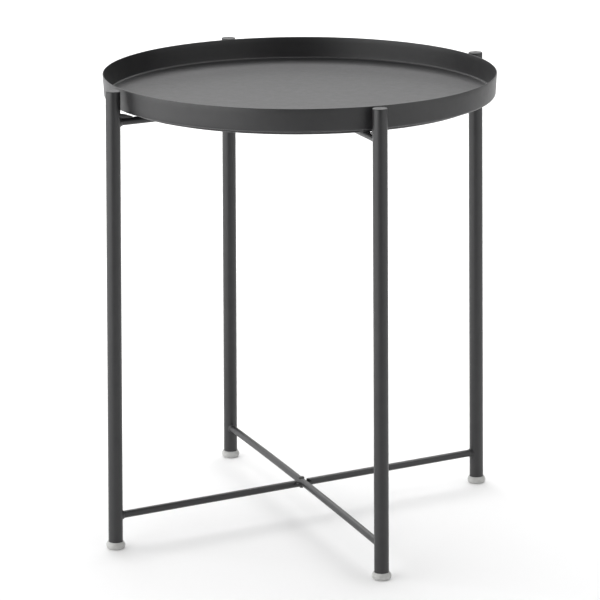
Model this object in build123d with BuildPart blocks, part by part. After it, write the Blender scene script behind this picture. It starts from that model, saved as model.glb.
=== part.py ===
from build123d import *

import math
import os

# Round folding tray table.  A loose round tray stands on two flat steel frames.  Each frame is two
# tube legs joined by an upper and a lower rod, and the frames turn on each other about the
# vertical line through the middle of the table, where their rods cross in riveted half laps.
# Millimetres.  +Z is up and the origin is on the floor, on that vertical line.  Frame A runs
# through the table at -half_spread from +X and frame B at +half_spread.

# Table
half_spread = 49.0
rim_top = 528.3
leg_top = 527.5

# Tray, and the wire ring under its floor
tray_rim_radius = 223.4
tray_foot_radius = 221.9
tray_underside = 502.15
tray_sheet = 1.0
tray_corner_radius = 3.2
ring_radius = 206.0
ring_wire = 5.2
ring_flat_depth = 0.15
ring_clearance = 0.3

# Legs, with the ends that close them
leg_diameter = 16.4
leg_wall = 1.2
leg_radius_at_top = 235.5
leg_radius_at_floor = 243.0
plug_stem_length = 9.0
plug_edge_height = 0.3
plug_dome_rise = 0.6
plug_flat_radius = 2.5
plug_rib_depth = 0.4
plug_rib_count = 3
foot_diameter = 21.9
foot_height = 8.2
foot_sole = 2.6
foot_base_diameter = 18.8
foot_lip = 0.9
foot_waist_height = 4.5

# Rods that join the legs
rod_diameter = 8.4
lower_rod_height = 38.1
lower_rod_bow = 2.1
weld_length = 4.5
weld_rise = 2.0
weld_hollow = 11.0
weld_root = 1.0
upper_weld_rise_on_top = 0.1

# Wedge lugs in the corners between the legs and the upper rods, which keep the ring centred
lug_length = 16.0
lug_rise = 4.8
lug_rise_at_middle = 3.3
lug_tip = 0.3
lug_seat = 0.9
lug_thickness = 5.0

# Half laps, where the rods of the two frames cross.  Their shoulders are pointed in plan, so that
# the rods can turn until they cross at lap_angle.
lap_angle = 40.0
lap_side_clearance = 0.1
lap_gap = 0.05
spot_face_depth = 0.9
spot_face_margin = 0.2

# Pivot rivet, and the spacer it runs through
rivet_diameter = 4.4
rivet_clearance = 0.08
rivet_head_diameter = 6.6
rivet_head_height = 2.3
rivet_head_round = 1.5
rivet_tail_diameter = 5.6
rivet_tail_height = 2.4
rivet_tail_bevel = 0.8
spacer_diameter = 8.0
spacer_thickness = 0.5

# How far cuts and blanks run past the faces they meet
cut_over = 1.0
fitting_error = 0.01

# Sizes that follow from the ones above
leg_lean = math.degrees(math.atan2(leg_radius_at_floor - leg_radius_at_top, leg_top))
leg_bore = leg_diameter - 2 * leg_wall
rod_radius = rod_diameter / 2
plug_head_height = plug_edge_height + plug_dome_rise
ring_height = ring_wire - ring_flat_depth
upper_rod_height = tray_underside - ring_height - ring_clearance - rod_radius
rivet_hole_diameter = rivet_diameter + 2 * rivet_clearance

FRAME_ANGLE = {"a": -half_spread, "b": half_spread}
ENDS = {"right": 0.0, "left": 180.0}
ROD_HEIGHT = {"upper": upper_rod_height, "lower": lower_rod_height}
ROD_BOW = {"upper": 0.0, "lower": lower_rod_bow}
WELD_RISE_ON_TOP = {"upper": upper_weld_rise_on_top, "lower": weld_rise}


def leg_radius(height):
    """Distance of a leg's axis from the fold axis at a height."""
    return leg_radius_at_floor + (leg_radius_at_top - leg_radius_at_floor) * height / leg_top


def leg_direction(azimuth):
    """Unit vector up a leg, which leans in a little towards the top."""
    turn = math.radians(azimuth)
    lean = math.radians(leg_lean)
    return Vector(-math.sin(lean) * math.cos(turn), -math.sin(lean) * math.sin(turn), math.cos(lean))


def leg_plane(azimuth, height):
    """Plane square across a leg where its axis is at this height, x pointing outwards."""
    turn = math.radians(azimuth)
    radius = leg_radius(height)
    origin = Vector(radius * math.cos(turn), radius * math.sin(turn), height)
    sideways = Vector(-math.sin(turn), math.cos(turn), 0)
    up = leg_direction(azimuth)
    return Plane(origin=origin, x_dir=sideways.cross(up), z_dir=up)


def leg_section(azimuth, height):
    """Vertical plane through a leg's axis: x outwards across the leg, y up along it."""
    across = leg_plane(azimuth, height)
    return Plane(origin=across.origin, x_dir=across.x_dir, z_dir=across.x_dir.cross(across.z_dir))


def rod_section(azimuth, height):
    """Vertical plane through a rod's axis: x along the rod, y up."""
    turn = math.radians(azimuth)
    along = Vector(math.cos(turn), math.sin(turn), 0)
    return Plane(origin=(0, 0, height), x_dir=along, z_dir=along.cross(Vector(0, 0, 1)))


def write(part, name):
    """Label one finished piece and write its STEP file."""
    part.label = name
    export_step(part, f"parts/{name}.step")


def make_leg(name, azimuth):
    """One round tube leg, from inside its foot to just under its top plug."""
    with BuildPart() as leg:
        with BuildSketch(leg_plane(azimuth, foot_sole)):
            Circle(leg_diameter / 2)
            Circle(leg_bore / 2, mode=Mode.SUBTRACT)
        extrude(amount=(leg_top - foot_sole) / math.cos(math.radians(leg_lean)))
    write(leg.part, name)


def make_plug(name, azimuth):
    """Plug pushed into the top of a leg: a low domed head over a ribbed stem."""
    head_radius = leg_diameter / 2
    stem_radius = leg_bore / 2
    core_radius = stem_radius - plug_rib_depth
    rib_height = plug_stem_length / (2 * plug_rib_count)
    with BuildPart() as plug:
        with BuildSketch(leg_section(azimuth, leg_top)):
            with BuildLine():
                outline = [(0, 0), (0, -plug_stem_length), (core_radius, -plug_stem_length)]
                for rib in range(plug_rib_count):
                    bottom = -plug_stem_length + (2 * rib + 1) * rib_height
                    outline.append((core_radius, bottom))
                    outline.append((stem_radius, bottom))
                    outline.append((stem_radius, bottom + rib_height))
                    outline.append((core_radius, bottom + rib_height))
                outline[-1] = (head_radius, 0)
                Polyline(*outline)
                Line((head_radius, 0), (head_radius, plug_edge_height))
                TangentArc(
                    (plug_flat_radius, plug_head_height),
                    (head_radius, plug_edge_height),
                    tangent=(1, 0),
                )
                Polyline((plug_flat_radius, plug_head_height), (0, plug_head_height), (0, 0))
            make_face()
        revolve(axis=Axis(leg_plane(azimuth, leg_top).origin, leg_direction(azimuth)))
    write(plug.part, name)


def make_foot(name, azimuth):
    """Soft cup round the lower end of a leg, bulging at its waist and flat on the floor."""
    mouth_radius = leg_diameter / 2
    lip_radius = mouth_radius + foot_lip
    base_radius = foot_base_diameter / 2
    with BuildPart() as foot:
        with BuildSketch(leg_section(azimuth, 0)):
            with BuildLine():
                Polyline((0, -cut_over), (base_radius, -cut_over), (base_radius, 0))
                ThreePointArc(
                    (base_radius, 0),
                    (foot_diameter / 2, foot_waist_height),
                    (lip_radius, foot_height),
                )
                Polyline(
                    (lip_radius, foot_height),
                    (mouth_radius, foot_height),
                    (mouth_radius, foot_sole),
                    (0, foot_sole),
                    (0, -cut_over),
                )
            make_face()
        revolve(axis=Axis(leg_plane(azimuth, 0).origin, leg_direction(azimuth)))
        split(bisect_by=Plane.XY, keep=Keep.TOP)
    write(foot.part, name)


def make_rod(name, azimuth, height, bow, lap_side, rise_on_top):
    """One rod of a frame, welded between its legs, with its half lap in the middle.

    bow is how far frame A's rod stands above frame B's at their crossing.  lap_side is 1 for frame
    A's rod, which keeps its upper part at the lap, and -1 for frame B's, which keeps its lower part.
    rise_on_top is how far the welds stand above the rod's top.
    """
    reach = leg_radius(height)
    leg_face = reach - leg_diameter / 2
    weld_start = leg_face - weld_length
    weld_end = leg_face + weld_root
    lap_face = bow / 2 + lap_side * spacer_thickness / 2
    middle = 0.0
    if lap_side > 0:
        middle = bow
    else:
        lap_face -= lap_gap
    lap_half_width = rod_radius + cut_over
    lap_middle = (rod_radius + lap_side_clearance) / math.sin(math.radians(lap_angle))
    lap_edge = lap_middle + lap_half_width / math.tan(math.radians(lap_angle))
    seat = middle + lap_side * (rod_radius - spot_face_depth)
    across = rod_section(azimuth, height)
    with BuildPart() as rod:
        with BuildLine(across) as path:
            if middle > 0:
                ThreePointArc((-reach, 0), (0, middle), (reach, 0))
            else:
                Line((-reach, 0), (reach, 0))
        with BuildSketch(path.line ^ 0):
            Circle(rod_radius)
        sweep()
        for side in (-1, 1):
            with BuildSketch(across):
                with BuildLine():
                    RadiusArc(
                        (side * weld_start, rod_radius),
                        (side * weld_end, rod_radius + weld_rise),
                        side * weld_hollow,
                    )
                    Polyline(
                        (side * weld_end, rod_radius + weld_rise),
                        (side * reach, rod_radius + weld_rise),
                        (side * reach, 0),
                        (side * weld_start, 0),
                        (side * weld_start, rod_radius),
                    )
                make_face()
            revolve(axis=Axis((0, 0, height), across.x_dir))
        if rise_on_top < weld_rise:
            with BuildSketch(Plane.XY.offset(height + rod_radius + rise_on_top)):
                Circle(reach)
            extrude(amount=weld_rise, mode=Mode.SUBTRACT)
        with BuildSketch(Plane.XY.offset(height + lap_face)):
            Polygon(
                (lap_middle, 0),
                (lap_edge, lap_half_width),
                (-lap_edge, lap_half_width),
                (-lap_middle, 0),
                (-lap_edge, -lap_half_width),
                (lap_edge, -lap_half_width),
                rotation=azimuth,
                align=None,
            )
        extrude(amount=-lap_side * rod_diameter, mode=Mode.SUBTRACT)
        with BuildSketch(Plane.XY.offset(height + seat)):
            Circle(rivet_head_diameter / 2 + spot_face_margin)
        extrude(amount=lap_side * rod_radius, mode=Mode.SUBTRACT)
        with BuildSketch(Plane.XY.offset(height)):
            Circle(rivet_hole_diameter / 2)
        extrude(amount=rod_diameter, both=True, mode=Mode.SUBTRACT)
        for end in ENDS.values():
            with BuildSketch(leg_plane(azimuth + end, 0)):
                Circle(leg_diameter / 2)
            extrude(amount=leg_top, mode=Mode.SUBTRACT)
    write(rod.part, name)
    return rod.part


def make_lug(name, azimuth, rod):
    """Wedge lug on an upper rod against its leg, outside the ring of the tray."""
    reach = leg_radius(upper_rod_height)
    leg_face = reach - leg_diameter / 2
    tip = leg_face - lug_length
    with BuildPart() as lug:
        with BuildSketch(rod_section(azimuth, upper_rod_height)):
            with BuildLine():
                ThreePointArc(
                    (tip, rod_radius + lug_tip),
                    (leg_face - lug_length / 2, rod_radius + lug_rise_at_middle),
                    (leg_face, rod_radius + lug_rise),
                )
                Polyline(
                    (leg_face, rod_radius + lug_rise),
                    (reach, rod_radius + lug_rise),
                    (reach, rod_radius - lug_seat),
                    (tip, rod_radius - lug_seat),
                    (tip, rod_radius + lug_tip),
                )
            make_face()
        extrude(amount=lug_thickness / 2, both=True)
        add(rod, mode=Mode.SUBTRACT)
        with BuildSketch(leg_plane(azimuth, 0)):
            Circle(leg_diameter / 2)
        extrude(amount=leg_top, mode=Mode.SUBTRACT)
    write(lug.part, name)


def make_pivot(place, height, bow):
    """Rivet and spacer that hold one crossing together."""
    lap_middle = height + bow / 2
    head_seat = height + bow + rod_radius - spot_face_depth
    tail_seat = height - rod_radius + spot_face_depth - lap_gap
    with BuildPart() as rivet:
        with BuildSketch(Plane.XY.offset(tail_seat)):
            Circle(rivet_diameter / 2)
        extrude(amount=head_seat - tail_seat)
        with BuildSketch(Plane.XY.offset(head_seat)):
            Circle(rivet_head_diameter / 2)
        extrude(amount=rivet_head_height)
        fillet(rivet.faces().sort_by(Axis.Z)[-1].edges(), rivet_head_round)
        with BuildSketch(Plane.XY.offset(tail_seat)):
            Circle(rivet_tail_diameter / 2)
        extrude(amount=-rivet_tail_height)
        chamfer(rivet.faces().sort_by(Axis.Z)[0].edges(), rivet_tail_bevel)
    write(rivet.part, f"{place}_pivot_rivet")

    with BuildPart() as spacer:
        with BuildSketch(Plane.XY.offset(lap_middle - spacer_thickness / 2)):
            Circle(spacer_diameter / 2)
            Circle(rivet_diameter / 2, mode=Mode.SUBTRACT)
        extrude(amount=spacer_thickness)
    write(spacer.part, f"{place}_pivot_spacer")


def make_tray():
    """Round pressed tray: a flat floor, a rounded corner and a wall that flares a little."""
    slope = (tray_rim_radius - tray_foot_radius) / (rim_top - tray_underside)
    wall_across = tray_sheet * math.hypot(1, slope)
    floor_top = tray_underside + tray_sheet
    inner_foot_radius = tray_foot_radius + slope * tray_sheet - wall_across
    with BuildPart() as tray:
        with BuildSketch(Plane.XZ) as half:
            with BuildLine():
                Polyline(
                    (0, tray_underside),
                    (tray_foot_radius, tray_underside),
                    (tray_rim_radius, rim_top),
                    (tray_rim_radius - wall_across, rim_top),
                    (inner_foot_radius, floor_top),
                    (0, floor_top),
                    close=True,
                )
            make_face()
            corners = half.vertices().filter_by(lambda corner: corner.X > tray_sheet)
            fillet(corners.sort_by(Axis.Y)[0], tray_corner_radius)
            corners = half.vertices().filter_by(lambda corner: abs(corner.Y - floor_top) < fitting_error)
            fillet(corners.sort_by(Axis.X)[-1], tray_corner_radius - tray_sheet)
        revolve(axis=Axis.Z)
    write(tray.part, "tray")


def make_ring():
    """Round wire ring welded under the tray floor, which rests on the four upper rods."""
    centre = tray_underside - ring_wire / 2 + ring_flat_depth
    with BuildPart() as ring:
        with BuildSketch(Plane.XZ):
            with Locations((ring_radius, centre)):
                Circle(ring_wire / 2)
            with Locations((ring_radius, tray_underside + ring_wire / 2)):
                Rectangle(ring_wire, ring_wire, mode=Mode.SUBTRACT)
        revolve(axis=Axis.Z)
    write(ring.part, "tray_ring")


os.makedirs("parts", exist_ok=True)

make_tray()
make_ring()
for frame, angle in FRAME_ANGLE.items():
    for end, turn in ENDS.items():
        make_leg(f"leg_{frame}_{end}", angle + turn)
        make_plug(f"leg_plug_{frame}_{end}", angle + turn)
        make_foot(f"foot_{frame}_{end}", angle + turn)
    for place, height in ROD_HEIGHT.items():
        name = f"{place}_rod_{frame}"
        bow = ROD_BOW[place]
        rise = WELD_RISE_ON_TOP[place]
        if frame == "a":
            rod = make_rod(name, angle, height, bow, 1, rise)
        else:
            rod = make_rod(name, angle, height, bow, -1, rise)
        if place == "upper":
            for end, turn in ENDS.items():
                make_lug(f"lug_{frame}_{end}", angle + turn, rod)
for place, height in ROD_HEIGHT.items():
    make_pivot(place, height, ROD_BOW[place])
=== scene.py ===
import math

import bmesh
import bpy
from mathutils import Matrix, Vector, noise


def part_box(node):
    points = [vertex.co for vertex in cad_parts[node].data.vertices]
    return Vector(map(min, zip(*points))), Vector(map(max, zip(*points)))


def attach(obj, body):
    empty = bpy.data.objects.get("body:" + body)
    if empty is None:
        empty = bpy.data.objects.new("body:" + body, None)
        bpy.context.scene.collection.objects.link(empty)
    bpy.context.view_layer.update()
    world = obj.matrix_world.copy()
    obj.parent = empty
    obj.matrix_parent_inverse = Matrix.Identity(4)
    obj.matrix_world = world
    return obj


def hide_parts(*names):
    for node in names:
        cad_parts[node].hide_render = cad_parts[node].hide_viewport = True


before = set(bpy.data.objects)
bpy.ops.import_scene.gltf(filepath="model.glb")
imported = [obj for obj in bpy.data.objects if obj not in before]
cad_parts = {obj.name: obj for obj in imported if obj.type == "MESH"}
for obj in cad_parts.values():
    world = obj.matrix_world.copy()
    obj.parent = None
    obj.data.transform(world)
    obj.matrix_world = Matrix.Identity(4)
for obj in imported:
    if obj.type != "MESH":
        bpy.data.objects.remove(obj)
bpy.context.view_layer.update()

# The folding tray table, built round its CAD frame: a black powder-coated steel tray on two tube
# frames, with pale soft feet.  Metres, in the frame of the CAD model.

MM = 0.001
TURN = 2 * math.pi
UP = Vector((0, 0, 1))
ENDS = ("right", "left")
FRAMES = ("a", "b")
SHARP_ANGLE = 35

# ------------------------------------------------------------------------------ driving sizes

TRAY_FLOOR_RADIUS = 221.9 * MM
TRAY_SHEET = 1.0 * MM
TRAY_CORNER = 3.2 * MM
TRAY_SEGMENTS = 288
TRAY_SHARP_ANGLE = 50
TRAY_CORNER_STEPS = 10
TRAY_EDGE_STEPS = 8
TRAY_FLOOR_SHARES = (0, 0.15, 0.3, 0.45, 0.6, 0.75, 0.9)
TRAY_WALL_SHARES = (0.25, 0.5, 0.75)

RING_WIRE_RADIUS = 2.6 * MM
RING_SEGMENTS = 240
RING_SECTION_STEPS = 24
RING_TACKS = 8
TACK_HALF_SIZE = (1.5 * MM, 3.2 * MM, 0.55 * MM)
TACK_SPREAD = 0.78
TACK_UNEVENNESS = 0.12

LEG_WALL = 1.2 * MM
LEG_EDGE = 0.35 * MM
LEG_SEGMENTS = 72
LEG_EDGE_STEPS = 5
LEG_OUTER_SHARES = (0, 0.02, 0.2, 0.4, 0.6, 0.8, 0.98)
LEG_INNER_SHARES = (0, 0.02, 0.2, 0.5, 0.8, 0.98, 1)

CAP_SEGMENTS = 64
# Gate mark and dome of a plug's head: (radius, drop below the top).
PLUG_DOME = ((0, 0.25), (0.55, 0.25), (0.75, 0.02), (2.5, 0), (4.2, 0.07), (5.8, 0.2))
PLUG_HEAD_INSET = 0.15 * MM
PLUG_EDGE = 0.45 * MM
PLUG_EDGE_DROP = 0.75 * MM
PLUG_SEAT_GAP = 0.05 * MM
PLUG_RIBS = 3
PLUG_RIB_DEPTH = 0.4 * MM
PLUG_RIB_HEIGHT = 1.2 * MM
PLUG_RIB_PITCH = 2.4 * MM

# Hollow in the middle of a foot's sole, and the section of its grooves: (radius, height).
SOLE_HOLLOW = ((0, 0.5), (2.2, 0.5), (2.6, 0))
SOLE_GROOVE = ((0, 0), (0.2, 0.4), (0.7, 0.4), (0.9, 0))
SOLE_GROOVE_RADII = (3.6, 5.4, 7.2)
SOLE_THICKNESS = 2.6 * MM
SOLE_EDGE = 0.5 * MM
FOOT_WAIST_INSET = 0.1 * MM
FOOT_TAPER = 1.45 * MM
FOOT_SHARES = (0.12, 0.24, 0.36, 0.48, 0.6, 0.72, 0.84, 0.92)
FOOT_NECK_START = 0.55
FOOT_NECK = 1.0 * MM
FOOT_MOUTH_DROP = 0.15 * MM
FOOT_LIP = 0.4 * MM
FOOT_LIP_GAP = 0.05 * MM
FOOT_MOUTH_LEDGE = 1 * MM

ROD_RADIUS = 4.2 * MM
ROD_SEGMENTS = 64
ROD_STATIONS = 40
ROD_BOW = {"upper": 0.0, "lower": 2.1 * MM}
ROD_REACH_INTO_LEG = 0.6
CUTTER_REACH = 3 * ROD_RADIUS
LAP_SIDE = {"a": 1, "b": -1}
LAP_FACE = {"a": 0.25 * MM, "b": 0.30 * MM}
LAP_ANGLE = math.radians(40)
LAP_SIDE_CLEARANCE = 0.1 * MM
LAP_CUTTER_HALF_WIDTH = ROD_RADIUS * 1.3
PIVOT_HOLE_RADIUS = 2.28 * MM
SPOT_FACE_RADIUS = 3.5 * MM
SPOT_FACE_DEPTH = 0.9 * MM
DRILL_SEGMENTS = 48

WELD_LENGTH = 3.5 * MM
WELD_RISE = 1.5 * MM
WELD_STEPS = 96
WELD_LAYERS = 9
WELD_RIPPLES = 15
WELD_RIPPLE_HEIGHT = 0.12 * MM
WELD_CROWN = 0.35 * MM
WELD_TOE = 0.3 * MM
WELD_BURIED = 1.5 * MM
WELD_INNER_RADIUS = ROD_RADIUS - 1.2 * MM
WELD_RISE_UNEVENNESS = 0.13
WELD_LENGTH_UNEVENNESS = 0.16
UPPER_WELD_TOP = 0.1 * MM

LUG_LENGTH = 16.0 * MM
LUG_HALF_WIDTH = 2.5 * MM
LUG_TIP_WIDTH_SHARE = 0.72
LUG_RISE = 5.05 * MM
LUG_TIP = 0.4 * MM
LUG_SUNK = 0.9 * MM
LUG_STATIONS = 24
LUG_SEGMENTS = 40
LUG_SQUARENESS = 0.5
LUG_UNEVENNESS = 0.04


def centre(node):
    """Middle of a CAD node's box."""
    low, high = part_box(node)
    return (low + high) / 2


TRAY_LOW, TRAY_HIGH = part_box("tray")
RIM_RADIUS = TRAY_HIGH.x
RIM_TOP = TRAY_HIGH.z
UNDERSIDE = TRAY_LOW.z
RING_LOW, RING_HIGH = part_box("tray_ring")
RING_RADIUS = RING_HIGH.x - RING_WIRE_RADIUS
RING_HEIGHT = RING_LOW.z + RING_WIRE_RADIUS
ROD_HEIGHT = {place: centre(f"{place}_pivot_spacer").z - ROD_BOW[place] / 2 for place in ROD_BOW}
PLUG_LOW, PLUG_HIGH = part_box("leg_plug_a_right")
LEG_RADIUS = (PLUG_HIGH.x - PLUG_LOW.x) / 2
LEG_BORE = LEG_RADIUS - LEG_WALL


# ------------------------------------------------------------------------------ mesh helpers

def finish_mesh(name, mesh_data, body, slot, replaced, sharp=SHARP_ANGLE):
    """Turn a bmesh into a smooth-shaded piece that rides on a body and stands for CAD nodes."""
    bmesh.ops.recalc_face_normals(mesh_data, faces=mesh_data.faces)
    mesh = bpy.data.meshes.new(name)
    mesh_data.to_mesh(mesh)
    mesh_data.free()
    mesh.shade_smooth()
    mesh.set_sharp_from_angle(angle=math.radians(sharp))
    piece = bpy.data.objects.new(name, mesh)
    bpy.context.scene.collection.objects.link(piece)
    mesh.materials.append(MATERIALS[slot])
    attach(piece, body)
    if replaced:
        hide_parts(*replaced)
    return piece


def arc(centre_point, radius, start, stop, steps):
    """Points on an arc in a profile, angles in degrees, both ends included."""
    points = []
    for step in range(steps + 1):
        angle = math.radians(start + (stop - start) * step / steps)
        across = centre_point[0] + radius * math.cos(angle)
        up = centre_point[1] + radius * math.sin(angle)
        points.append((across, up))
    return points


def lathe(mesh_data, profile, segments, matrix, closed=True):
    """Revolve a profile of (radius, height) about z. A radius of 0 makes a pole."""
    rings = []
    for radius, height in profile:
        if radius < 1e-7:
            rings.append([mesh_data.verts.new(matrix @ Vector((0, 0, height)))])
            continue
        ring = []
        for step in range(segments):
            angle = TURN * step / segments
            point = Vector((radius * math.cos(angle), radius * math.sin(angle), height))
            ring.append(mesh_data.verts.new(matrix @ point))
        rings.append(ring)
    pairs = list(zip(rings, rings[1:]))
    if closed:
        pairs.append((rings[-1], rings[0]))
    for first, second in pairs:
        bridge(mesh_data, first, second)


def bridge(mesh_data, first, second):
    """Faces between two closed rings of points, either of which may be a single pole."""
    count = max(len(first), len(second))
    if len(first) == len(second) == 1:
        return
    for step in range(count):
        after = (step + 1) % count
        if len(first) == 1:
            corners = (first[0], second[after], second[step])
        elif len(second) == 1:
            corners = (first[step], first[after], second[0])
        else:
            corners = (first[step], first[after], second[after], second[step])
        mesh_data.faces.new(corners)


def frame_matrix(origin, x_axis, y_axis, z_axis):
    """Matrix that takes local axes to these three, at this origin."""
    matrix = Matrix((x_axis, y_axis, z_axis)).transposed().to_4x4()
    matrix.translation = origin
    return matrix


def leg_axis(leg):
    """(point on the floor, unit direction up) of a leg, from its foot and its plug."""
    low = centre(f"foot_{leg}")
    high = centre(f"leg_plug_{leg}")
    up = (high - low).normalized()
    return low - up * (low.z / up.z), up


def leg_matrix(leg, height):
    """Local axes of a leg at a height: z up the leg, x outwards from the table's middle."""
    foot_point, up = leg_axis(leg)
    origin = foot_point + up * (height / up.z)
    outwards = Vector((origin.x, origin.y, 0)).normalized()
    sideways = up.cross(outwards).normalized()
    return frame_matrix(origin, sideways.cross(up), sideways, up)


# ------------------------------------------------------------------------------ materials

# Noise seldom leaves this part of its range, so colours and roughness are spread over it.
NOISE_LOW = 0.3
NOISE_HIGH = 0.7


def new_material(name):
    """Empty node material: (material, its tree, its Principled node)."""
    material = bpy.data.materials.new(name)
    material.use_nodes = True
    tree = material.node_tree
    return material, tree, tree.nodes["Principled BSDF"]


def add_noise(tree, scale, detail=3.0, roughness=0.5):
    """Noise in the object's own metres; scale is features per metre."""
    place = tree.nodes.new("ShaderNodeTexCoord")
    texture = tree.nodes.new("ShaderNodeTexNoise")
    texture.inputs["Scale"].default_value = scale
    texture.inputs["Detail"].default_value = detail
    texture.inputs["Roughness"].default_value = roughness
    tree.links.new(place.outputs["Object"], texture.inputs["Vector"])
    return texture.outputs["Fac"]


def add_range(tree, value, low, high):
    """Spread noise between two numbers."""
    spread = tree.nodes.new("ShaderNodeMapRange")
    spread.inputs["From Min"].default_value = NOISE_LOW
    spread.inputs["From Max"].default_value = NOISE_HIGH
    spread.inputs["To Min"].default_value = low
    spread.inputs["To Max"].default_value = high
    tree.links.new(value, spread.inputs["Value"])
    return spread.outputs["Result"]


def add_colour(tree, value, low, high):
    """Spread noise between two colours."""
    ramp = tree.nodes.new("ShaderNodeValToRGB")
    ramp.color_ramp.elements[0].position = NOISE_LOW
    ramp.color_ramp.elements[0].color = (*low, 1)
    ramp.color_ramp.elements[1].position = NOISE_HIGH
    ramp.color_ramp.elements[1].color = (*high, 1)
    tree.links.new(value, ramp.inputs["Fac"])
    return ramp.outputs["Color"]


def add_bump(tree, shader, heights):
    """Chain of bumps: (value, strength, depth in metres), coarse first."""
    normal = None
    for value, strength, depth in heights:
        bump = tree.nodes.new("ShaderNodeBump")
        bump.inputs["Strength"].default_value = strength
        bump.inputs["Distance"].default_value = depth
        tree.links.new(value, bump.inputs["Height"])
        if normal is not None:
            tree.links.new(normal, bump.inputs["Normal"])
        normal = bump.outputs["Normal"]
    tree.links.new(normal, shader.inputs["Normal"])


def powder_coat(name, dark, light, rough_low, rough_high):
    """Satin black powder coat: orange peel, fine grain and slight unevenness of tone and gloss."""
    material, tree, shader = new_material(name)
    tone = add_noise(tree, scale=55, detail=4, roughness=0.6)
    grain = add_noise(tree, scale=2600, detail=2, roughness=0.5)
    peel = add_noise(tree, scale=420, detail=2, roughness=0.45)
    gloss = add_noise(tree, scale=120, detail=5, roughness=0.65)
    tree.links.new(add_colour(tree, tone, dark, light), shader.inputs["Base Color"])
    tree.links.new(add_range(tree, gloss, rough_low, rough_high), shader.inputs["Roughness"])
    add_bump(tree, shader, [(peel, 0.6, 0.05 * MM), (grain, 0.8, 0.03 * MM)])
    shader.inputs["IOR"].default_value = 1.55
    return material


def moulded_plastic(name, dark, light):
    """Matt moulded plastic with a fine spark-eroded grain."""
    material, tree, shader = new_material(name)
    tone = add_noise(tree, scale=90)
    grain = add_noise(tree, scale=3200, roughness=0.6)
    tree.links.new(add_colour(tree, tone, dark, light), shader.inputs["Base Color"])
    tree.links.new(add_range(tree, grain, 0.42, 0.55), shader.inputs["Roughness"])
    add_bump(tree, shader, [(grain, 0.35, 0.01 * MM)])
    shader.inputs["IOR"].default_value = 1.5
    return material


def soft_foot(name, dark, light):
    """Pale translucent soft plastic, faintly cloudy, with a moulded grain."""
    material, tree, shader = new_material(name)
    cloud = add_noise(tree, scale=240, detail=4, roughness=0.6)
    grain = add_noise(tree, scale=2400, detail=2)
    tree.links.new(add_colour(tree, cloud, dark, light), shader.inputs["Base Color"])
    tree.links.new(add_range(tree, grain, 0.36, 0.5), shader.inputs["Roughness"])
    add_bump(tree, shader, [(grain, 0.25, 0.01 * MM)])
    shader.inputs["IOR"].default_value = 1.46
    shader.inputs["Subsurface Weight"].default_value = 0.6
    shader.inputs["Subsurface Radius"].default_value = (1.0, 1.0, 0.95)
    shader.inputs["Subsurface Scale"].default_value = 2.5 * MM
    return material


def black_steel(name, dark, light):
    """Black-oxide steel of small fasteners, a little worn and lathe-marked."""
    material, tree, shader = new_material(name)
    blotch = add_noise(tree, scale=700, detail=4, roughness=0.65)
    marks = add_noise(tree, scale=5200, detail=2)
    tree.links.new(add_colour(tree, blotch, dark, light), shader.inputs["Base Color"])
    tree.links.new(add_range(tree, marks, 0.3, 0.48), shader.inputs["Roughness"])
    add_bump(tree, shader, [(marks, 0.3, 0.006 * MM)])
    shader.inputs["Metallic"].default_value = 0.85
    return material


COAT_LIGHT = (0.015, 0.015, 0.016)
MATERIALS = {
    "frame_coat": powder_coat("frame_coat", (0.010, 0.010, 0.011), COAT_LIGHT, 0.35, 0.42),
    "tray_coat": powder_coat("tray_coat", (0.011, 0.011, 0.012), COAT_LIGHT, 0.39, 0.45),
    "leg_plug": moulded_plastic("leg_plug", (0.030, 0.030, 0.031), (0.042, 0.042, 0.043)),
    "foot_cap": soft_foot("foot_cap", (0.41, 0.41, 0.40), (0.49, 0.49, 0.48)),
    "fastener": black_steel("fastener", (0.028, 0.028, 0.03), (0.075, 0.074, 0.072)),
    "spacer": moulded_plastic("spacer", (0.02, 0.02, 0.02), (0.03, 0.03, 0.03)),
}


# ------------------------------------------------------------------------------ tray

def between(first, second, shares):
    """Profile points at these shares of the way from one point to another."""
    return [tuple(Vector(first).lerp(Vector(second), share)) for share in shares]


def make_tray():
    """Pressed tray: flat floor, rounded corner, flared wall and a rounded cut edge."""
    half_sheet = TRAY_SHEET / 2
    flare = math.atan2(RIM_RADIUS - TRAY_FLOOR_RADIUS, RIM_TOP - UNDERSIDE)
    along = Vector((math.sin(flare), math.cos(flare)))
    inwards = Vector((-math.cos(flare), math.sin(flare)))
    base = Vector((TRAY_FLOOR_RADIUS, UNDERSIDE))
    start = (TRAY_CORNER - TRAY_CORNER * math.sin(flare)) / math.cos(flare)
    corner = base + along * start + inwards * TRAY_CORNER
    wall_angle = -math.degrees(flare)
    top = Vector((RIM_RADIUS, RIM_TOP))
    round_at = top - along * (half_sheet / math.cos(flare)) + inwards * half_sheet

    floor_low = [(share * TRAY_FLOOR_RADIUS, UNDERSIDE) for share in TRAY_FLOOR_SHARES]
    floor_high = [(radius, height + TRAY_SHEET) for radius, height in reversed(floor_low)]
    outside = arc(corner, TRAY_CORNER, -90, wall_angle, TRAY_CORNER_STEPS)
    edge = arc(round_at, half_sheet, wall_angle, wall_angle + 180, TRAY_EDGE_STEPS)
    inside = arc(corner, TRAY_CORNER - TRAY_SHEET, wall_angle, -90, TRAY_CORNER_STEPS)
    profile = floor_low + outside + between(outside[-1], edge[0], TRAY_WALL_SHARES) + edge
    profile += between(edge[-1], inside[0], TRAY_WALL_SHARES) + inside + floor_high
    mesh_data = bmesh.new()
    lathe(mesh_data, profile, TRAY_SEGMENTS, Matrix.Identity(4), closed=False)
    finish_mesh("tray_pan", mesh_data, "tray", "tray_coat", ["tray"], sharp=TRAY_SHARP_ANGLE)


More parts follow.
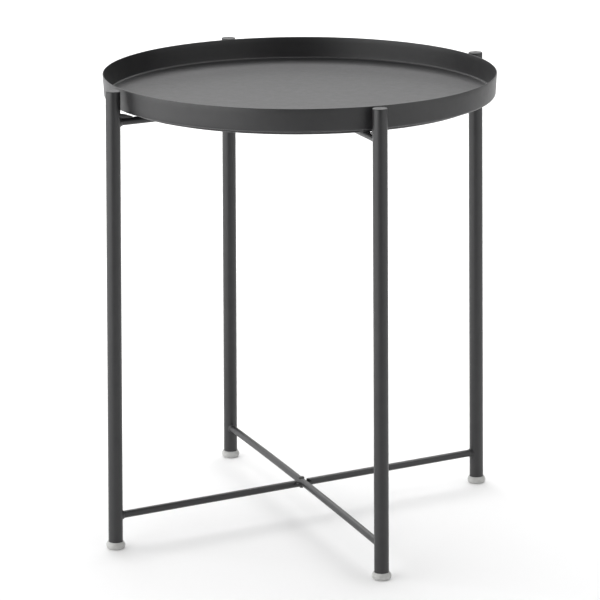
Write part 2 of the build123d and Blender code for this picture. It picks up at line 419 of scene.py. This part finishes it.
def make_ring():
    """Wire hoop under the tray, with the small tack welds that hold it."""
    mesh_data = bmesh.new()
    flat = RING_HIGH.z
    wire_middle = (RING_RADIUS, RING_HEIGHT)
    last = 360 - 360 / RING_SECTION_STEPS
    wire = arc(wire_middle, RING_WIRE_RADIUS, 0, last, RING_SECTION_STEPS - 1)
    section = [(across, min(up, flat)) for across, up in wire]
    lathe(mesh_data, section, RING_SEGMENTS, Matrix.Identity(4))
    for tack in range(RING_TACKS):
        angle = TURN * (tack + 0.5) / RING_TACKS
        for side in (-1, 1):
            out = RING_RADIUS + side * RING_WIRE_RADIUS * TACK_SPREAD
            place = Vector((out * math.cos(angle), out * math.sin(angle), flat - TACK_HALF_SIZE[2]))
            add_blob(mesh_data, place, angle, TACK_HALF_SIZE, tack + side)
    finish_mesh("tray_hoop", mesh_data, "tray", "tray_coat", ["tray_ring"])


def add_blob(mesh_data, place, angle, half_size, seed):
    """Small uneven weld lump: an ellipsoid of this half-size, turned about z."""
    turn = Matrix.Translation(place) @ Matrix.Rotation(angle, 4, "Z")
    made = bmesh.ops.create_icosphere(mesh_data, subdivisions=3, radius=1.0)
    for vert in made["verts"]:
        lump = 1 + TACK_UNEVENNESS * noise.noise(vert.co * 1.7 + Vector((seed * 3.1, 0, 0)))
        vert.co = turn @ (vert.co * Vector(half_size) * lump)


# ------------------------------------------------------------------------------ legs

def make_leg(leg, body):
    """Tube leg with a broken edge at its open top."""
    low, top = (corner.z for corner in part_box(f"leg_{leg}"))
    length = top - low
    outer = [(LEG_RADIUS, low + length * share) for share in LEG_OUTER_SHARES]
    outer += arc((LEG_RADIUS - LEG_EDGE, top - LEG_EDGE), LEG_EDGE, 0, 90, LEG_EDGE_STEPS)
    inner = [(LEG_BORE, top - length * share) for share in LEG_INNER_SHARES]
    mesh_data = bmesh.new()
    lathe(mesh_data, outer + inner, LEG_SEGMENTS, leg_matrix(leg, 0))
    finish_mesh(f"tube_{leg}", mesh_data, body, "frame_coat", [f"leg_{leg}"])


def make_plug(leg, body):
    """Plug in the top of a leg: domed head, small moulding gate mark and a ribbed stem."""
    low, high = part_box(f"leg_plug_{leg}")
    tube_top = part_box(f"leg_{leg}")[1].z
    head = LEG_RADIUS - PLUG_HEAD_INSET
    stem = LEG_BORE - PLUG_RIB_DEPTH
    shoulder = tube_top + PLUG_SEAT_GAP
    edge_middle = (head - PLUG_EDGE, high.z - PLUG_EDGE_DROP)
    profile = [(radius * MM, high.z - drop * MM) for radius, drop in PLUG_DOME]
    profile += arc(edge_middle, PLUG_EDGE, 75, -5, 6)
    profile += [(head, shoulder), (LEG_BORE, shoulder)]
    for rib in range(PLUG_RIBS):
        rib_top = tube_top - PLUG_RIB_HEIGHT - PLUG_RIB_PITCH * rib
        profile.append((stem, rib_top))
        profile.append((LEG_BORE, rib_top - PLUG_RIB_HEIGHT / 2))
        profile.append((stem, rib_top - PLUG_RIB_HEIGHT))
    profile += [(stem, low.z), (0, low.z)]
    mesh_data = bmesh.new()
    lathe(mesh_data, profile, CAP_SEGMENTS, leg_matrix(leg, 0), closed=False)
    finish_mesh(f"top_plug_{leg}", mesh_data, body, "leg_plug", [f"leg_plug_{leg}"])


def make_foot(leg, body):
    """Soft foot cap: bulging cup with a rolled mouth and grooves in its sole."""
    low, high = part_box(f"foot_{leg}")
    waist = (high.x - low.x) / 2 - FOOT_WAIST_INSET
    mouth = high.z - FOOT_MOUTH_DROP
    base = waist - FOOT_TAPER
    profile = [(radius * MM, up * MM) for radius, up in SOLE_HOLLOW]
    for groove in SOLE_GROOVE_RADII:
        profile += [((groove + across) * MM, up * MM) for across, up in SOLE_GROOVE]
    profile += arc((base - SOLE_EDGE, SOLE_EDGE), SOLE_EDGE, -90, -25, 4)
    for share in FOOT_SHARES:
        bulge = math.sin(math.pi * min(1, share * 0.98 + 0.02)) ** 0.75
        neck = max(0, share - FOOT_NECK_START) / (1 - FOOT_NECK_START)
        radius = base + (waist - base) * bulge - neck * neck * FOOT_NECK
        profile.append((radius, mouth * share))
    lip_middle = (LEG_RADIUS + FOOT_LIP + FOOT_LIP_GAP, mouth - FOOT_LIP)
    profile += arc(lip_middle, FOOT_LIP, 20, 180, 7)
    profile += [(LEG_RADIUS, SOLE_THICKNESS + FOOT_MOUTH_LEDGE)]
    profile += [(LEG_RADIUS, SOLE_THICKNESS), (0, SOLE_THICKNESS)]
    mesh_data = bmesh.new()
    lathe(mesh_data, profile, CAP_SEGMENTS, leg_matrix(leg, 0), closed=False)
    for vert in mesh_data.verts:
        vert.co.z = max(vert.co.z, low.z)
    finish_mesh(f"foot_cap_{leg}", mesh_data, body, "foot_cap", [f"foot_{leg}"])


# ------------------------------------------------------------------------------ rods and welds

def sweep(mesh_data, rings):
    """Solid skin over a row of rings, with flat ends."""
    for first, second in zip(rings, rings[1:]):
        bridge(mesh_data, first, second)
    mesh_data.faces.new(rings[0])
    mesh_data.faces.new(rings[-1])


def smooth_step(value, low, high):
    """0 below low, 1 above high and smooth between."""
    share = min(1, max(0, (value - low) / (high - low)))
    return share * share * (3 - 2 * share)


def add_rod(mesh_data, which, place, direction, reach):
    """One whole rod; frame A's lower rod bows up over the other at their crossing."""
    bow = ROD_BOW[place]
    sideways = UP.cross(direction)
    rings = []
    for station in range(ROD_STATIONS + 1):
        along = reach * (2 * station / ROD_STATIONS - 1)
        axis_height = ROD_HEIGHT[place]
        if LAP_SIDE[which] > 0:
            axis_height += bow * (1 - (along / reach) ** 2)
        ring = []
        for step in range(ROD_SEGMENTS):
            angle = TURN * (step + 0.5) / ROD_SEGMENTS
            across, up = ROD_RADIUS * math.cos(angle), ROD_RADIUS * math.sin(angle)
            point = direction * along + sideways * across + UP * (axis_height + up)
            ring.append(mesh_data.verts.new(point))
        rings.append(ring)
    sweep(mesh_data, rings)


def lap_cutter(which, place, direction):
    """Block that takes half of a rod away at the crossing, with shoulders pointed in plan."""
    side = LAP_SIDE[which]
    sideways = UP.cross(direction)
    half_width = LAP_CUTTER_HALF_WIDTH
    middle = (ROD_RADIUS + LAP_SIDE_CLEARANCE) / math.sin(LAP_ANGLE)
    edge = middle + half_width / math.tan(LAP_ANGLE)
    face = ROD_HEIGHT[place] + ROD_BOW[place] / 2 + side * LAP_FACE[which]
    outline = [(middle, 0), (edge, half_width), (-edge, half_width)]
    outline += [(-middle, 0), (-edge, -half_width), (edge, -half_width)]
    cutter_data = bmesh.new()
    rings = []
    for level in (face, face - side * CUTTER_REACH):
        ring = []
        for along, across in outline:
            point = direction * along + sideways * across + UP * level
            ring.append(cutter_data.verts.new(point))
        cutter_data.faces.new(ring[:4])
        cutter_data.faces.new((ring[3], ring[4], ring[5], ring[0]))
        rings.append(ring)
    bridge(cutter_data, *rings)
    return cutter_data


def add_weld(mesh_data, leg, height, top, seed):
    """Rippled weld bead round the end of a rod, which stands no higher than top above its axis."""
    matrix = leg_matrix(leg, height)
    rings = [[] for _ in range(WELD_LAYERS)]
    for step in range(WELD_STEPS):
        angle = TURN * step / WELD_STEPS
        across, up = math.cos(angle), math.sin(angle)
        uneven = noise.noise(Vector((across * 1.5, up * 1.5, seed * 2.7)))
        rise = WELD_RISE * (1 + WELD_RISE_UNEVENNESS * uneven) + WELD_TOE
        length = WELD_LENGTH * (1 + WELD_LENGTH_UNEVENNESS * uneven)
        ripple = WELD_RIPPLE_HEIGHT * abs(math.sin(WELD_RIPPLES * angle / 2 + seed))
        toe = -math.sqrt(LEG_RADIUS ** 2 - (ROD_RADIUS * across) ** 2) - length
        for layer in range(WELD_LAYERS):
            # The first and the last layer lie outside 0 to 1: they close the bead inside the metal.
            share = (layer - 1) / (WELD_LAYERS - 3)
            inside = min(1, max(0, share))
            radius = ROD_RADIUS - WELD_TOE + rise * inside ** 1.7
            leg_face = -math.sqrt(max(LEG_RADIUS ** 2 - (radius * across) ** 2, 0))
            depth = toe + (leg_face - toe) * inside ** 0.75
            if share < 0:
                radius, depth = WELD_INNER_RADIUS, depth + WELD_BURIED
            if share > 1:
                radius, depth = radius - WELD_BURIED, depth + WELD_BURIED
            hump = math.sin(math.pi * inside) * (WELD_CROWN + ripple)
            radius += hump * 0.75
            depth -= hump * 0.65
            point = Vector((depth, radius * across, min(radius * up, top)))
            rings[layer].append(mesh_data.verts.new(matrix @ point))
    sweep(mesh_data, rings)


def drill_cutter(which, place):
    """Stepped drill: the pivot hole, and the flat seat for one end of the rivet."""
    side = LAP_SIDE[which]
    height = ROD_HEIGHT[place]
    seat = height + side * (ROD_RADIUS - SPOT_FACE_DEPTH)
    if side > 0:
        seat += ROD_BOW[place]
    near, far = height - side * CUTTER_REACH, height + side * CUTTER_REACH
    profile = [(0, near), (PIVOT_HOLE_RADIUS, near), (PIVOT_HOLE_RADIUS, seat)]
    profile += [(SPOT_FACE_RADIUS, seat), (SPOT_FACE_RADIUS, far), (0, far)]
    cutter_data = bmesh.new()
    lathe(cutter_data, profile, DRILL_SEGMENTS, Matrix.Identity(4), closed=False)
    return cutter_data


def cut_away(piece, cutter_data):
    """Take a cutter's volume out of a piece."""
    bmesh.ops.recalc_face_normals(cutter_data, faces=cutter_data.faces)
    mesh = bpy.data.meshes.new("cutter")
    cutter_data.to_mesh(mesh)
    cutter_data.free()
    cutter = bpy.data.objects.new("cutter", mesh)
    bpy.context.scene.collection.objects.link(cutter)
    hole = piece.modifiers.new("hole", "BOOLEAN")
    hole.operation = "DIFFERENCE"
    hole.solver = "EXACT"
    hole.object = cutter
    bpy.context.view_layer.update()
    view = bpy.context.evaluated_depsgraph_get()
    piece.data = bpy.data.meshes.new_from_object(piece.evaluated_get(view))
    piece.modifiers.remove(hole)
    piece.data.set_sharp_from_angle(angle=math.radians(SHARP_ANGLE))
    bpy.data.objects.remove(cutter)


def make_rod(which, place):
    """One rod with the welds at both its ends."""
    body = f"frame_{which}"
    height = ROD_HEIGHT[place]
    right = leg_matrix(f"{which}_right", height).translation
    direction = Vector((right.x, right.y, 0)).normalized()
    reach = Vector((right.x, right.y)).length - LEG_RADIUS * ROD_REACH_INTO_LEG
    mesh_data = bmesh.new()
    add_rod(mesh_data, which, place, direction, reach)
    replaced = [f"{place}_rod_{which}"]
    piece = finish_mesh(f"{place}_stretcher_{which}", mesh_data, body, "frame_coat", replaced)
    cut_away(piece, lap_cutter(which, place, direction))
    cut_away(piece, drill_cutter(which, place))
    top = ROD_RADIUS + (UPPER_WELD_TOP if place == "upper" else 2 * WELD_RISE)
    for index, end in enumerate(ENDS):
        bead_data = bmesh.new()
        seed = index + 2 * FRAMES.index(which) + (4 if place == "upper" else 0)
        add_weld(bead_data, f"{which}_{end}", height, top, seed)
        finish_mesh(f"weld_{place}_{which}_{end}", bead_data, body, "frame_coat", [])


def rounded_square(angle, half_width, half_height):
    """Point at this angle on an outline between an ellipse and a rectangle."""
    across, up = math.cos(angle), math.sin(angle)
    across = math.copysign(abs(across) ** LUG_SQUARENESS, across) * half_width
    up = math.copysign(abs(up) ** LUG_SQUARENESS, up) * half_height
    return across, up


def make_lug(leg, body, seed):
    """Rounded wedge lug on an upper rod against its leg."""
    height = ROD_HEIGHT["upper"]
    place = leg_matrix(leg, height).translation
    outwards = Vector((place.x, place.y, 0)).normalized()
    sideways = UP.cross(outwards)
    leg_face = Vector((place.x, place.y)).length - LEG_RADIUS
    bottom = ROD_RADIUS - LUG_SUNK
    rings = []
    mesh_data = bmesh.new()
    for station in range(LUG_STATIONS + 1):
        share = station / LUG_STATIONS
        along = leg_face - LUG_LENGTH * (1 - share) + LUG_SUNK * share ** 6
        top = ROD_RADIUS + LUG_TIP + (LUG_RISE - LUG_TIP) * (1 - (1 - share) ** 1.6)
        widening = (1 - LUG_TIP_WIDTH_SHARE) * smooth_step(share, 0, 0.35)
        half_width = LUG_HALF_WIDTH * (LUG_TIP_WIDTH_SHARE + widening)
        middle, half_height = (top + bottom) / 2, (top - bottom) / 2
        ring = []
        for step in range(LUG_SEGMENTS):
            angle = TURN * (step + 0.5) / LUG_SEGMENTS
            across, up = rounded_square(angle, half_width, half_height)
            uneven = noise.noise(Vector((along * 300, across * 300, seed * 2.3)))
            across *= 1 - LUG_UNEVENNESS * abs(uneven)
            point = outwards * along + sideways * across + UP * (height + middle + up)
            ring.append(mesh_data.verts.new(point))
        rings.append(ring)
    sweep(mesh_data, rings)
    finish_mesh(f"wedge_{leg}", mesh_data, body, "frame_coat", [f"lug_{leg}"])


# ------------------------------------------------------------------------------ the object

def dress_pivots():
    """Give the CAD rivets and spacers their finish."""
    for place in ("upper", "lower"):
        for kind, slot in (("rivet", "fastener"), ("spacer", "spacer")):
            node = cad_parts[f"{place}_pivot_{kind}"]
            node.data.materials.clear()
            node.data.materials.append(MATERIALS[slot])


make_tray()
make_ring()
for which in FRAMES:
    for end in ENDS:
        corner_leg, own_body = f"{which}_{end}", f"frame_{which}"
        make_leg(corner_leg, own_body)
        make_plug(corner_leg, own_body)
        make_foot(corner_leg, own_body)
        make_lug(corner_leg, own_body, FRAMES.index(which) + 2 * ENDS.index(end))
    for place in ("upper", "lower"):
        make_rod(which, place)
dress_pivots()


# ------------------------------------------------------------------------------ studio

VIEW_TURN = math.radians(19.73)
TOWARDS = Vector((math.sin(VIEW_TURN), -math.cos(VIEW_TURN), 0))
RIGHT = Vector((math.cos(VIEW_TURN), math.sin(VIEW_TURN), 0))

CAMERA_FOCAL_LENGTH = 189.4
CAMERA_SENSOR = 36
CAMERA_DISTANCE = 3.5276
CAMERA_HEIGHT = 1.1834
CAMERA_DOWN = math.radians(14.674)
CAMERA_ROLL = math.radians(-0.25)
CAMERA_PAN = math.radians(0.014)

FLOOR_HALF_SIZE = 14
FLOOR_TONE = 0.88
ROOM_LIGHT = 0.09

# Places are (to the right, towards the camera, up), as the camera sees the table.
TABLE_MIDDLE = (0, 0, 0.35)
SOFTBOXES = (
    # name, place, aimed at, size, radiance
    ("left_box", (-2.34, 1.118, 1.0), TABLE_MIDDLE, (4.2, 2.2), 2.9),
    ("right_box", (2.349, 1.35, 1.0), TABLE_MIDDLE, (3.8, 2.2), 1.15),
    ("top_box", (0, -2.0, 2.9), (0, -2.0, 0), (6.5, 5.0), 1.75),
    ("far_top_box", (0, -4.4, 3.6), (0, -4.0, 0), (6.0, 3.2), 2.2),
    ("back_box", (0, -6.8, 1.2), TABLE_MIDDLE, (8.0, 2.6), 0.7),
    ("back_left_box", (-3.3, -3.4, 1.2), TABLE_MIDDLE, (3.2, 2.6), 1.3),
)


def seen(place):
    """World point of a place given as (right, towards the camera, up)."""
    return RIGHT * place[0] + TOWARDS * place[1] + UP * place[2]


def make_camera():
    """Long lens from the front, a little above the tray."""
    data = bpy.data.cameras.new("camera")
    data.lens = CAMERA_FOCAL_LENGTH
    data.sensor_width = CAMERA_SENSOR
    data.clip_start = 0.1
    data.clip_end = 60
    camera = bpy.data.objects.new("camera", data)
    bpy.context.scene.collection.objects.link(camera)
    tilt = Matrix.Rotation(math.pi / 2 - CAMERA_DOWN, 4, "X")
    roll = Matrix.Rotation(CAMERA_ROLL, 4, "Z")
    turn = Matrix.Rotation(VIEW_TURN + CAMERA_PAN, 4, "Z")
    place = Matrix.Translation(seen((0, CAMERA_DISTANCE, CAMERA_HEIGHT)))
    camera.matrix_world = place @ turn @ tilt @ roll
    bpy.context.scene.camera = camera


def make_floor():
    """Plain pale matt floor."""
    data = bmesh.new()
    bmesh.ops.create_grid(data, x_segments=1, y_segments=1, size=FLOOR_HALF_SIZE)
    mesh = bpy.data.meshes.new("floor")
    data.to_mesh(mesh)
    data.free()
    floor = bpy.data.objects.new("floor", mesh)
    bpy.context.scene.collection.objects.link(floor)
    material, _, shader = new_material("floor_paint")
    shader.inputs["Base Color"].default_value = (FLOOR_TONE, FLOOR_TONE, FLOOR_TONE, 1)
    shader.inputs["Roughness"].default_value = 0.9
    shader.inputs["Specular IOR Level"].default_value = 0.1
    mesh.materials.append(material)


def make_softbox(name, place, target, size, radiance):
    """Rectangular softbox of this size in metres, facing a point."""
    data = bpy.data.lights.new(name, "AREA")
    data.shape = "RECTANGLE"
    data.size, data.size_y = size
    data.energy = radiance * math.pi * size[0] * size[1]
    light = bpy.data.objects.new(name, data)
    bpy.context.scene.collection.objects.link(light)
    facing = (place - target).to_track_quat("Z", "Y").to_matrix().to_4x4()
    light.matrix_world = Matrix.Translation(place) @ facing
    light.visible_camera = False


def make_studio():
    """Soft light from both sides, overhead and behind, in a dim room of even tone."""
    for name, place, target, size, radiance in SOFTBOXES:
        make_softbox(name, seen(place), seen(target), size, radiance)
    world = bpy.data.worlds.new("room")
    world.use_nodes = True
    background = world.node_tree.nodes["Background"]
    background.inputs["Color"].default_value = (1, 1, 1, 1)
    background.inputs["Strength"].default_value = ROOM_LIGHT
    bpy.context.scene.world = world
    bpy.context.scene.view_settings.view_transform = "Standard"
    bpy.context.scene.view_settings.look = "None"


make_camera()
make_floor()
make_studio()
